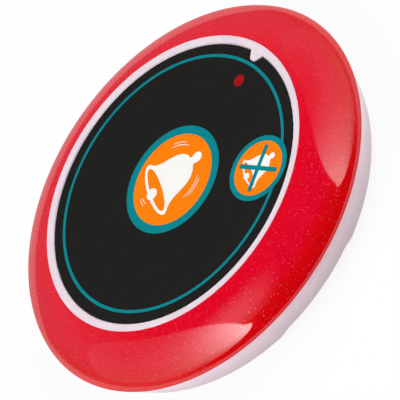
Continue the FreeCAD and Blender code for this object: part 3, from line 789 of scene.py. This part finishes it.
def new_tree(name, inputs):
    """A Geometry Nodes tree with named inputs and one geometry output."""
    tree = bpy.data.node_groups.new(name, "GeometryNodeTree")
    tree.interface.new_socket("Geometry", in_out="INPUT", socket_type="NodeSocketGeometry")
    for label, kind in inputs.items():
        tree.interface.new_socket(label, in_out="INPUT", socket_type=f"NodeSocket{kind}")
    tree.interface.new_socket("Geometry", in_out="OUTPUT", socket_type="NodeSocketGeometry")
    board = Board(tree)
    return board, board.add("NodeGroupInput")


def end_tree(board, shape, finish):
    """The end of each tree: real faces, one material and the output."""
    solid = board.add("GeometryNodeRealizeInstances", None, [shape])
    done = board.add("GeometryNodeSetMaterial", None, {"Geometry": solid, "Material": finish})
    board.put(board.tree.nodes.new("NodeGroupOutput").inputs[0], done)
    return board.tree


def grow(name, tree, mesh, values):
    """Runs a tree on a mesh and keeps the result as a plain mesh."""
    piece = bpy.data.objects.new(name, mesh)
    bpy.context.scene.collection.objects.link(piece)
    modifier = piece.modifiers.new(name, "NODES")
    modifier.node_group = tree
    for item in tree.interface.items_tree:
        if item.in_out == "INPUT" and item.name in values:
            modifier[item.identifier] = values[item.name]
    bpy.context.view_layer.update()
    graph = bpy.context.evaluated_depsgraph_get()
    made = bpy.data.meshes.new_from_object(piece.evaluated_get(graph))
    piece.modifiers.remove(modifier)
    piece.data = made
    made.name = name
    print(name, len(made.polygons), "faces")
    return piece


def glitter_tree():
    """Small tilted plates, scattered over a mesh."""
    board, given = new_tree("scatter glitter", {
        "Per Square Metre": "Float", "Plate Radius": "Float", "Plate Thickness": "Float",
        "Tilt": "Float", "Seed": "Int", "Finish": "Material"})
    spots = board.add("GeometryNodeDistributePointsOnFaces", {"distribute_method": "RANDOM"},
                      {"Mesh": given.of("Geometry"), "Density": given.of("Per Square Metre"),
                       "Seed": given.of("Seed")}, "Points")
    flake = board.add("GeometryNodeMeshCylinder", {"fill_type": "NGON"},
                      {"Vertices": FLAKE_SIDES, "Radius": given.of("Plate Radius"),
                       "Depth": given.of("Plate Thickness")}, "Mesh")
    tilt = given.of("Tilt")
    low = board.add("ShaderNodeCombineXYZ", None, [0 - tilt, 0 - tilt, 0.0])
    high = board.add("ShaderNodeCombineXYZ", None, [tilt, tilt, 2 * math.pi])
    spin = board.add("FunctionNodeRandomValue", {"data_type": "FLOAT_VECTOR"},
                     {"Min": low, "Max": high, "Seed": 7}, "Value")
    size = board.add("FunctionNodeRandomValue", {"data_type": "FLOAT"},
                     {"Min_001": SMALLEST_FLAKE, "Max_001": 1.0, "Seed": 11}, "Value_001")
    extra = board.add("FunctionNodeEulerToRotation", None, [spin])
    spun = board.add("FunctionNodeRotateRotation", {"rotation_space": "LOCAL"},
                     {"Rotation": spots.of("Rotation"), "Rotate By": extra})
    plates = board.add("GeometryNodeInstanceOnPoints", None,
                       {"Points": spots, "Instance": flake, "Rotation": spun, "Scale": size})
    return end_tree(board, plates, given.of("Finish"))


# %% [markdown]
# ## The red ring
#
# The ring is a turned shape: one outline spun round the middle. Geometry Nodes suit that,
# because the rule is short. The outline comes in as a row of points in radius and height.
# A grid has one column for each point and one row for each step round the circle, and
# every grid point moves to its place on the ring. The last row lands on the first one, and
# merging them closes the ring.

# %% Turning tree
SEAM_GAP = 1e-7


def turning_tree():
    """A ring, turned from the points of its outline."""
    board, given = new_tree("turned ring", {"Steps Round": "Int", "Outline Points": "Int",
                                            "Finish": "Material"})
    count, steps = given.of("Outline Points"), given.of("Steps Round")
    grid = board.add("GeometryNodeMeshGrid", None,
                     {"Vertices X": steps + 1, "Vertices Y": count + 1}, "Mesh")
    index = board.add("GeometryNodeInputIndex")
    row = index.math("FLOOR", index / (count + 1))
    column = index - row * (count + 1)
    wrapped = column.math("MODULO", column, count)
    place = board.add("GeometryNodeInputPosition")
    outline = board.add("GeometryNodeSampleIndex",
                        {"data_type": "FLOAT_VECTOR", "domain": "POINT"},
                        {"Geometry": given.of("Geometry"), "Value": place, "Index": wrapped})
    radius = board.add("ShaderNodeSeparateXYZ", None, [outline], "X")
    height = radius.of("Z")
    angle = row * (2 * math.pi) / steps
    around = board.add("ShaderNodeCombineXYZ", None,
                       [radius * angle.math("COSINE", angle), radius * angle.math("SINE", angle),
                        height])
    moved = board.add("GeometryNodeSetPosition", None, {"Geometry": grid, "Position": around})
    closed = board.add("GeometryNodeMergeByDistance", None,
                       {"Geometry": moved, "Distance": SEAM_GAP})
    return end_tree(board, closed, given.of("Finish"))


def outward(piece):
    """Points every face outwards, since a spun shape may come out inside out."""
    build = bmesh.new()
    build.from_mesh(piece.data)
    bmesh.ops.recalc_face_normals(build, faces=build.faces)
    build.to_mesh(piece.data)
    build.free()


TURNING = turning_tree()
SHARP_ANGLE = math.radians(32)


def turned(name, outline, steps, material):
    """A ring turned from an outline of (radius, height) in millimetres."""
    mesh = bpy.data.meshes.new(name)
    mesh.from_pydata([(r * MM, 0, z * MM) for r, z in outline], [], [])
    piece = grow(name, TURNING, mesh, {"Steps Round": steps, "Outline Points": len(outline),
                                       "Finish": material})
    outward(piece)
    piece.data.shade_smooth()
    piece.data.set_sharp_from_angle(angle=SHARP_ANGLE)
    return piece


# %% [markdown]
# The ring is not a plain cone: the reflections in the photograph bend all the way across
# it. Its outline is a flat arc of about 22 mm radius that starts at 12 degrees, meets a
# 5 mm shoulder where it falls at 36 degrees, and turns under into a small lip. Two circles
# touch at that place, so one division finds the flat arc's radius from the two ends.

# %% Red ring
RING_WALL, SHOULDER_R, SHOULDER_Z, LIP_R, SEAM_Z, EDGE_R = 1.8, 5.0, 7.7, 1.3, 8.1, 0.15
RING_INNER, RING_OUTER = 1.81, 11.85
CROWN_FALL = 36.0
RING_STEPS, BEAD_STEPS, CARRIER_STEPS = 256, 192, 96
ring_in, ring_out = film_r + RING_INNER, film_r + RING_OUTER
ring_top = mm_box("bezel_ring")[1].z


def arc(middle, radius, start, end, steps):
    """Places along an arc, from one angle to another in degrees."""
    return oval(radius, radius, middle, steps, start, end - start)


lip_z = SEAM_Z + LIP_R
shoulder_x = ring_out - math.sqrt(SHOULDER_R ** 2 - (lip_z - SHOULDER_Z) ** 2)
shoulder_at = (shoulder_x, SHOULDER_Z)
fall = math.radians(CROWN_FALL)
outwards = Vector((math.sin(fall), math.cos(fall)))
join = Vector(shoulder_at) + SHOULDER_R * outwards
chord = Vector((ring_in, ring_top)) - join
crown_r = -chord.length_squared / (2 * chord.dot(outwards))
crown_at = join - crown_r * outwards
start_turn = math.degrees(math.atan2(ring_top - crown_at.y, ring_in - crown_at.x))
edge_turn = start_turn - math.degrees(EDGE_R / crown_r)
edge_way = Vector((math.cos(math.radians(edge_turn)), math.sin(math.radians(edge_turn))))
edge_at = crown_at + (crown_r - EDGE_R) * edge_way
lip_turn = math.degrees(math.asin((lip_z - SHOULDER_Z) / SHOULDER_R))
under_turn = math.degrees(math.asin((SEAM_Z - SHOULDER_Z) / (SHOULDER_R - RING_WALL)))
under_x, under_z = shoulder_x - ring_in, SHOULDER_Z - ring_top
under_slope = math.degrees(math.atan2(under_z, under_x)
                           + math.asin(SHOULDER_R / math.hypot(under_x, under_z)))
ring_outline = [(ring_in, ring_top - RING_WALL / math.cos(math.radians(under_slope))),
                *arc(edge_at, EDGE_R, 180, edge_turn, 8)]
ring_outline += arc(crown_at, crown_r, edge_turn, 90 - CROWN_FALL, 24)[1:]
ring_outline += arc(shoulder_at, SHOULDER_R, 90 - CROWN_FALL, lip_turn, 28)[1:]
face_points = len(ring_outline)
ring_outline += arc((ring_out - LIP_R, lip_z), LIP_R, 0, -90, 12)
ring_outline += arc(shoulder_at, SHOULDER_R - RING_WALL, under_turn, 90 + under_slope, 12)

red_ring = turned("red_ring", ring_outline, RING_STEPS, RED)
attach(red_ring, "housing")
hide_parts("bezel_ring")
print("crown radius", round(crown_r, 2), "starts at", round(90 - start_turn, 1), "degrees")

# %% [markdown]
# A gap of 0.15 mm is left between the rim and the ring for the assembly. It would show as
# a dark line, which the photograph doesn't have, so a small bead on the rim fills it. The
# bead is one more turned shape.

# %% Rim bead
BEAD_INNER, BEAD_GAP, BEAD_DROP, BEAD_DEPTH, BEAD_R = 1.5, 0.01, 0.02, 1.0, 0.06
bead_in, bead_out, bead_z = film_r + BEAD_INNER, ring_in - BEAD_GAP, ring_top - BEAD_DROP
bead_outline = [(bead_in, bead_z - BEAD_DEPTH), (bead_out, bead_z - BEAD_DEPTH),
                *arc((bead_out - BEAD_R, bead_z - BEAD_R), BEAD_R, 0, 90, 4), (bead_in, bead_z)]
rim_bead = turned("rim_bead", bead_outline, BEAD_STEPS, WHITE)
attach(rim_bead, "housing")

# %% [markdown]
# Flakes lie on the ring's outer face only, so a copy of that face carries them and isn't
# kept afterwards.

# %% Scatter the flakes
flake_finish = metal("glitter flake", srgb(255, 176, 188), (1, 1, 1), 0.2)
face_outline = ring_outline[1:face_points]
carrier = bpy.data.meshes.new("flake_carrier")
build = bmesh.new()
rows = [[build.verts.new((r * math.cos(a) * MM, r * math.sin(a) * MM, z * MM))
         for r, z in face_outline]
        for a in (2 * math.pi * i / CARRIER_STEPS for i in range(CARRIER_STEPS))]
for a, b in zip(rows, rows[1:] + rows[:1]):
    for j in range(len(face_outline) - 1):
        build.faces.new((a[j], a[j + 1], b[j + 1], b[j]))
build.to_mesh(carrier)
build.free()
glitter = grow("glitter_flakes", glitter_tree(), carrier,
               {"Per Square Metre": 8.0e5, "Plate Radius": 0.078 * MM,
                "Plate Thickness": 0.03 * MM, "Tilt": 0.12, "Seed": 3, "Finish": flake_finish})
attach(glitter, "housing")

# %% [markdown]
# ## Stage and light
#
# The button stands on a pale floor in a plain room. The room is grey behind the button and
# dark in front of it, and a soft patch overhead stands for the light that the ceiling
# throws back. A Light Path node shows white instead to the camera and to rays that pass
# through something, and the floor is white in reflections too.

# %% Floor and world


def sees(board, *rays):
    """1 for the kinds of ray that are named, and 0 for the rest."""
    first = board.add("ShaderNodeLightPath", output=f"Is {rays[0]} Ray")
    seen = first
    for ray in rays[1:]:
        seen = seen.math("MAXIMUM", seen, first.of(f"Is {ray} Ray"))
    return seen


FLOOR_HALF, FLOOR_DROP = 4, 0.0002
corners = [(x * FLOOR_HALF, y * FLOOR_HALF, 0) for x, y in ((-1, -1), (1, -1), (1, 1), (-1, 1))]
floor_mesh = bpy.data.meshes.new("floor")
floor_mesh.from_pydata(corners, [], [(0, 1, 2, 3)])
floor = bpy.data.objects.new("floor", floor_mesh)
floor.location.z = -FLOOR_DROP
bpy.context.scene.collection.objects.link(floor)
paper = Finish("pale floor")
paper.wear(srgb(250, 250, 250), 0.9)
glow = paper.add("ShaderNodeEmission", None, {"Color": (1, 1, 1, 1), "Strength": 1.0})
share = sees(paper, "Camera", "Glossy", "Transmission") * 0.9
lit = paper.add("ShaderNodeMixShader", None,
                {0: share, 1: Wire(paper, paper.shader.outputs[0]), 2: glow})
clear = paper.add("ShaderNodeBsdfTransparent")
below = paper.add("ShaderNodeNewGeometry", output="Backfacing")
both = paper.add("ShaderNodeMixShader", None, {0: below, 1: lit, 2: clear})
paper.put(paper.tree.nodes["Material Output"].inputs["Surface"], both)
floor_mesh.materials.append(paper.material)

world = bpy.data.worlds.new("studio")
world.use_nodes = True
bpy.context.scene.world = world
sky = Board(world.node_tree)
direction = sky.add("ShaderNodeTexCoord", output="Generated")
east = sky.add("ShaderNodeSeparateXYZ", None, [direction], "X")
up = east.of("Z")
room = sky.mix(east.ramp(-0.1, 0.6), (0.34, 0.34, 0.35, 1), (0.02, 0.02, 0.02, 1))
room = sky.mix(up.ramp(0.35, 0.9), room, (0.03, 0.03, 0.03, 1))
ceiling = (0.094, -0.363, 0.927)
aligned = sky.vector("DOT_PRODUCT", direction, ceiling).of("Value")
bounce = sky.add("ShaderNodeMapRange", None, {"Value": aligned, "From Min": 0.94})
room = sky.mix(bounce * bounce, room, (0.78, 0.78, 0.78, 1))
near_floor = sees(sky, "Glossy") * up.ramp(0.0, -0.02)
shown = sky.mix(near_floor.math("MAXIMUM", near_floor, sees(sky, "Camera", "Transmission")),
                room, (1, 1, 1, 1))
background = world.node_tree.nodes["Background"]
sky.put(background.inputs["Color"], shown)
background.inputs["Strength"].default_value = 1.0

# %% [markdown]
# Two large oval softboxes stand left and right, half way up. Each one draws a long
# reflection on the red ring, and the band between them, towards the camera, stays dark.
# Such a lamp isn't equally bright all over: its bulb stands near the camera's end, so the
# cloth fades along its length. The lamp's own coordinates, from 0 to 1 across and up, say
# how far. Two plain fills, which reflections don't show, lift the colours to their level.

# %% Softboxes
LAMP_REACH = 0.9
DIMMEST = 0.03


def softbox(name, azimuth, elevation, lean, size, radiance, bright=(0, 0, 0), span=(-1, 0),
            fade=2.0):
    """An oval area lamp that looks at the button. Its width and height are shares of its
    distance. The three shares in bright say how its strength rises across, up and
    towards a corner, over the span, and fade bends that rise."""
    lamp = bpy.data.lights.new(name, "AREA")
    lamp.shape, lamp.size, lamp.size_y = "ELLIPSE", size[0] * LAMP_REACH, size[1] * LAMP_REACH
    lamp.energy = radiance * math.pi * lamp.size * lamp.size_y * math.pi / 4
    lamp.use_nodes = True
    cloth = Board(lamp.node_tree)
    place = cloth.add("ShaderNodeNewGeometry", output="Parametric")
    across = cloth.add("ShaderNodeSeparateXYZ", None, [place], "X")
    x, y = across - 0.5, across.of("Y") - 0.5
    side = x * bright[0] + y * bright[1] + x * y * bright[2]
    grown = cloth.add("ShaderNodeMapRange", None,
                      {"Value": side, "From Min": span[0], "From Max": span[1]})
    strength = lamp.node_tree.nodes["Emission"].inputs["Strength"]
    cloth.put(strength, DIMMEST + (1 - DIMMEST) * grown ** fade)
    a, e = math.radians(azimuth), math.radians(elevation)
    away = Vector((math.cos(a) * math.cos(e), math.sin(a) * math.cos(e), math.sin(e)))
    leaning = Matrix.Rotation(math.radians(lean), 3, "Z").to_quaternion()
    light = bpy.data.objects.new(name, lamp)
    light.location = away * LAMP_REACH
    light.rotation_euler = (away.to_track_quat("Z", "Y") @ leaning).to_euler()
    bpy.context.scene.collection.objects.link(light)
    return light


softbox("softbox_left", -89.6, 39.7, -1.8, (1.75, 0.97), 6.4,
        bright=(1.02, 0.56, 1.6), span=(-0.48, 0.6), fade=3.0)
softbox("softbox_right", 99.6, 36.8, -6, (1.68, 1.0), 2.7,
        bright=(-1.0, 0.3, -2.0), span=(-0.36, 0.51))
for azimuth, elevation, radiance in ((-72, 42, 2.3), (100, 36, 3.2)):
    fill = softbox("fill", azimuth, elevation, 0, (0.8, 0.8), radiance)
    fill.visible_glossy = False
